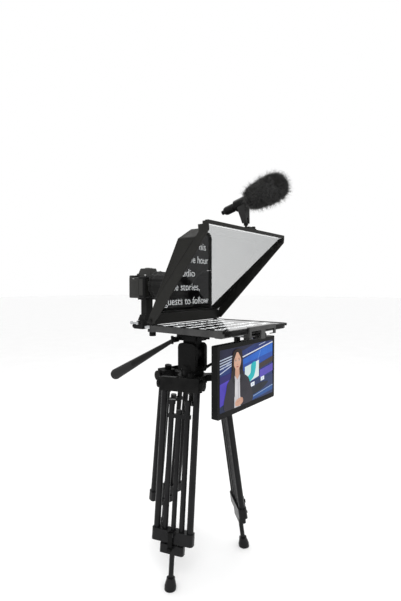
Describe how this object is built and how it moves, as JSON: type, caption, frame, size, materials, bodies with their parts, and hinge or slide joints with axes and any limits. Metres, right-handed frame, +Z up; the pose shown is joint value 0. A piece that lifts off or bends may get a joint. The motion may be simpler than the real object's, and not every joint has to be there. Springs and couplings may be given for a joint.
{
  "type": "teleprompter",
  "caption": "Studio teleprompter: hooded 45 degree beam splitter over a flat script monitor, talent monitor, camera and microphone, on 15 mm rods, fluid head and tripod.",
  "frame": {"origin": "on the floor under the middle of the assembly, on the pan axis of the head", "axes": "+Z up, -Y towards the talent who reads the script, +X to the right seen from the talent"},
  "size_m": [0.497, 0.8119, 1.4378],
  "materials": {
    "black_metal": "satin",
    "dark_casting": "matt",
    "tube_metal": "anodised",
    "rod_metal": "anodised",
    "rail_metal": "anodised",
    "steel": "brushed",
    "black_plastic": "matt",
    "black_rubber": "matt",
    "screen_panel": "gloss",
    "splitter_glass": "polished",
    "lens_glass": "polished",
    "hood_sheet": "matt",
    "sleeve_fabric": "woven",
    "fur": "fur"
  },
  "bodies": {
    "crown": {"crown": "dark_casting", "leg_pins": "black_plastic", "head_base": "black_metal"},
    "bowl_knob": {"bowl_knob": "black_plastic"},
    "leg_left": {"leg_block_left": "dark_casting", "leg_tubes_left": "tube_metal"},
    "angle_knob_left": {"leg_knob_left": "black_plastic"},
    "lock_left": {"leg_lock_left": "black_plastic"},
    "lower_leg_left": {"lower_leg_left": "tube_metal"},
    "leg_rear": {"leg_block_rear": "dark_casting", "leg_tubes_rear": "tube_metal"},
    "angle_knob_rear": {"leg_knob_rear": "black_plastic"},
    "lock_rear": {"leg_lock_rear": "black_plastic"},
    "lower_leg_rear": {"lower_leg_rear": "tube_metal"},
    "leg_right": {"leg_block_right": "dark_casting", "leg_tubes_right": "tube_metal"},
    "angle_knob_right": {"leg_knob_right": "black_plastic"},
    "lock_right": {"leg_lock_right": "black_plastic"},
    "lower_leg_right": {"lower_leg_right": "tube_metal"},
    "pan": {"pan_body": "dark_casting"},
    "pan_lever": {"pan_lever": "black_metal"},
    "tilt": {"tilt_body": "dark_casting"},
    "tilt_knob": {"tilt_knob": "black_plastic"},
    "rig": {"slide_plate": "black_metal", "rods": "rod_metal", "rod_caps": "black_plastic", "tray_frame": "rail_metal", "hinge_brackets": "black_metal", "monitor_bezel": "black_plastic", "monitor_screen": "screen_panel", "monitor_housing": "black_plastic", "talent_bracket": "black_metal"},
    "plate_lever": {"plate_lever": "black_metal"},
    "handle": {"handle_rod": "black_metal", "handle_grip": "black_rubber"},
    "camera": {"riser": "black_metal", "camera_body": "black_plastic", "lens_barrel": "black_plastic", "lens_glass": "lens_glass"},
    "riser_lever": {"riser_lever": "rod_metal"},
    "shutter": {"shutter_button": "steel"},
    "mode_dial": {"mode_dial": "black_plastic"},
    "focus": {"focus_ring": "black_rubber"},
    "retainer": {"retainer": "rail_metal"},
    "corner_knob_left": {"corner_knob_left": "black_plastic"},
    "corner_knob_right": {"corner_knob_right": "black_plastic"},
    "hood": {"glass_frame": "black_metal", "mirror_glass": "splitter_glass", "hood": "hood_sheet", "lens_sleeve": "sleeve_fabric", "shoe_mount": "black_metal"},
    "talent": {"talent_case": "black_plastic", "talent_bezel": "black_plastic", "talent_screen": "screen_panel"},
    "talent_knob": {"talent_knob": "black_plastic"},
    "mic_swivel": {"mic_swivel": "black_metal"},
    "mic": {"mic_clamp": "black_plastic", "mic_body": "black_metal", "windshield": "fur"},
    "shoe_knob": {"shoe_knob": "black_metal"}
  },
  "joints": [
    {"name": "bowl_clamp", "type": "hinge", "parent": "crown", "child": "bowl_knob", "pos_m": [0, 0, 0.634], "axis": [0, 0, 1], "range_deg": [-90, 90]},
    {"name": "leg_fold_left", "type": "hinge", "parent": "crown", "child": "leg_left", "pos_m": [-0.10842, -0.03523, 0.702], "axis": [0.309, -0.9511, 0], "range_deg": [0, 8]},
    {"name": "angle_knob_left", "type": "hinge", "parent": "leg_left", "child": "angle_knob_left", "pos_m": [-0.09302, -0.07228, 0.72478], "axis": [0.1324, 0.043, 0.9903], "range_deg": [-90, 90]},
    {"name": "lock_left", "type": "hinge", "parent": "leg_left", "child": "lock_left", "pos_m": [-0.19925, -0.06474, 0.19132], "axis": [-0.309, 0.9511, 0], "range_deg": [0, 90]},
    {"name": "leg_extend_left", "type": "slide", "parent": "leg_left", "child": "lower_leg_left", "axis": [-0.1324, -0.043, -0.9903], "range_m": [0, 0.38]},
    {"name": "leg_fold_rear", "type": "hinge", "parent": "crown", "child": "leg_rear", "pos_m": [0.0237, 0.11151, 0.702], "axis": [-0.9781, 0.2079, 0], "range_deg": [0, 8]},
    {"name": "angle_knob_rear", "type": "hinge", "parent": "leg_rear", "child": "angle_knob_rear", "pos_m": [-0.01609, 0.11669, 0.72478], "axis": [-0.0289, -0.1361, 0.9903], "range_deg": [-90, 90]},
    {"name": "lock_rear", "type": "hinge", "parent": "leg_rear", "child": "lock_rear", "pos_m": [0.04356, 0.20492, 0.19132], "axis": [0.9781, -0.2079, 0], "range_deg": [0, 90]},
    {"name": "leg_extend_rear", "type": "slide", "parent": "leg_rear", "child": "lower_leg_rear", "axis": [0.0289, 0.1361, -0.9903], "range_m": [0, 0.38]},
    {"name": "leg_fold_right", "type": "hinge", "parent": "crown", "child": "leg_right", "pos_m": [0.08472, -0.07628, 0.702], "axis": [0.6691, 0.7431, 0], "range_deg": [0, 8]},
    {"name": "angle_knob_right", "type": "hinge", "parent": "leg_right", "child": "angle_knob_right", "pos_m": [0.1091, -0.04441, 0.72478], "axis": [-0.1034, 0.0931, 0.9903], "range_deg": [-90, 90]},
    {"name": "lock_right", "type": "hinge", "parent": "leg_right", "child": "lock_right", "pos_m": [0.15569, -0.14018, 0.19132], "axis": [-0.6691, -0.7431, 0], "range_deg": [0, 90]},
    {"name": "leg_extend_right", "type": "slide", "parent": "leg_right", "child": "lower_leg_right", "axis": [0.1034, -0.0931, -0.9903], "range_m": [0, 0.38]},
    {"name": "head_pan", "type": "hinge", "parent": "crown", "child": "pan", "pos_m": [0, 0, 0.735], "axis": [0, 0, 1], "continuous": true},
    {"name": "pan_lock", "type": "hinge", "parent": "pan", "child": "pan_lever", "pos_m": [0, -0.057, 0.744], "axis": [0, -1, 0], "range_deg": [0, 60]},
    {"name": "head_tilt", "type": "hinge", "parent": "pan", "child": "tilt", "pos_m": [0, 0, 0.8], "axis": [1, 0, 0], "range_deg": [-12, 12]},
    {"name": "tilt_lock", "type": "hinge", "parent": "pan", "child": "tilt_knob", "pos_m": [0.043, 0, 0.768], "axis": [1, 0, 0], "range_deg": [-90, 90]},
    {"name": "plate_slide", "type": "slide", "parent": "tilt", "child": "rig", "axis": [0, 1, 0], "range_m": [-0.015, 0.01]},
    {"name": "plate_lock", "type": "hinge", "parent": "tilt", "child": "plate_lever", "pos_m": [0.04, -0.02, 0.856], "axis": [1, 0, 0], "range_deg": [0, 75]},
    {"name": "handle_angle", "type": "hinge", "parent": "tilt", "child": "handle", "pos_m": [-0.0585, 0.043, 0.854], "axis": [1, 0, 0], "range_deg": [-12, 18]},
    {"name": "riser_slide", "type": "slide", "parent": "rig", "child": "camera", "axis": [0, 1, 0], "range_m": [-0.01, 0.008]},
    {"name": "riser_lock", "type": "hinge", "parent": "camera", "child": "riser_lever", "pos_m": [-0.049, 0.262, 0.905], "axis": [1, 0, 0], "range_deg": [0, 70]},
    {"name": "shutter_press", "type": "slide", "parent": "camera", "child": "shutter", "axis": [0, 0, -1], "range_m": [0, 0.0012], "stiffness_N_per_m": 700},
    {"name": "mode_dial_turn", "type": "hinge", "parent": "camera", "child": "mode_dial", "pos_m": [-0.052, 0.258, 1.104], "axis": [0, 0, 1], "continuous": true},
    {"name": "focus_turn", "type": "hinge", "parent": "camera", "child": "focus", "pos_m": [0, 0.14, 1.058], "axis": [0, 1, 0], "range_deg": [-90, 90]},
    {"name": "retainer_slide", "type": "slide", "parent": "rig", "child": "retainer", "axis": [0, -1, 0], "range_m": [0, 0.03]},
    {"name": "corner_clamp_left", "type": "hinge", "parent": "rig", "child": "corner_knob_left", "pos_m": [-0.198, 0.021, 0.891], "axis": [0, 0, 1], "range_deg": [-90, 90]},
    {"name": "corner_clamp_right", "type": "hinge", "parent": "rig", "child": "corner_knob_right", "pos_m": [0.198, 0.021, 0.891], "axis": [0, 0, 1], "range_deg": [-90, 90]},
    {"name": "hood_trim", "type": "hinge", "parent": "rig", "child": "hood", "pos_m": [0, 0.024, 0.938], "axis": [1, 0, 0], "range_deg": [-4, 4]},
    {"name": "talent_tilt", "type": "hinge", "parent": "rig", "child": "talent", "pos_m": [0, -0.209, 0.82], "axis": [1, 0, 0], "range_deg": [-10, 5]},
    {"name": "talent_lock", "type": "hinge", "parent": "talent", "child": "talent_knob", "pos_m": [0.024, -0.209, 0.82], "axis": [1, 0, 0], "range_deg": [-90, 90]},
    {"name": "mic_swivel", "type": "hinge", "parent": "hood", "child": "mic_swivel", "pos_m": [0, -0.245, 1.277], "axis": [0, 0, 1], "range_deg": [-90, 90]},
    {"name": "mic_tilt", "type": "hinge", "parent": "mic_swivel", "child": "mic", "pos_m": [0, -0.245, 1.292], "axis": [1, 0, 0], "range_deg": [-12, 12]},
    {"name": "shoe_lock", "type": "hinge", "parent": "hood", "child": "shoe_knob", "pos_m": [0.026, -0.26, 1.267], "axis": [0, 0, 1], "range_deg": [-90, 90]}
  ]
}
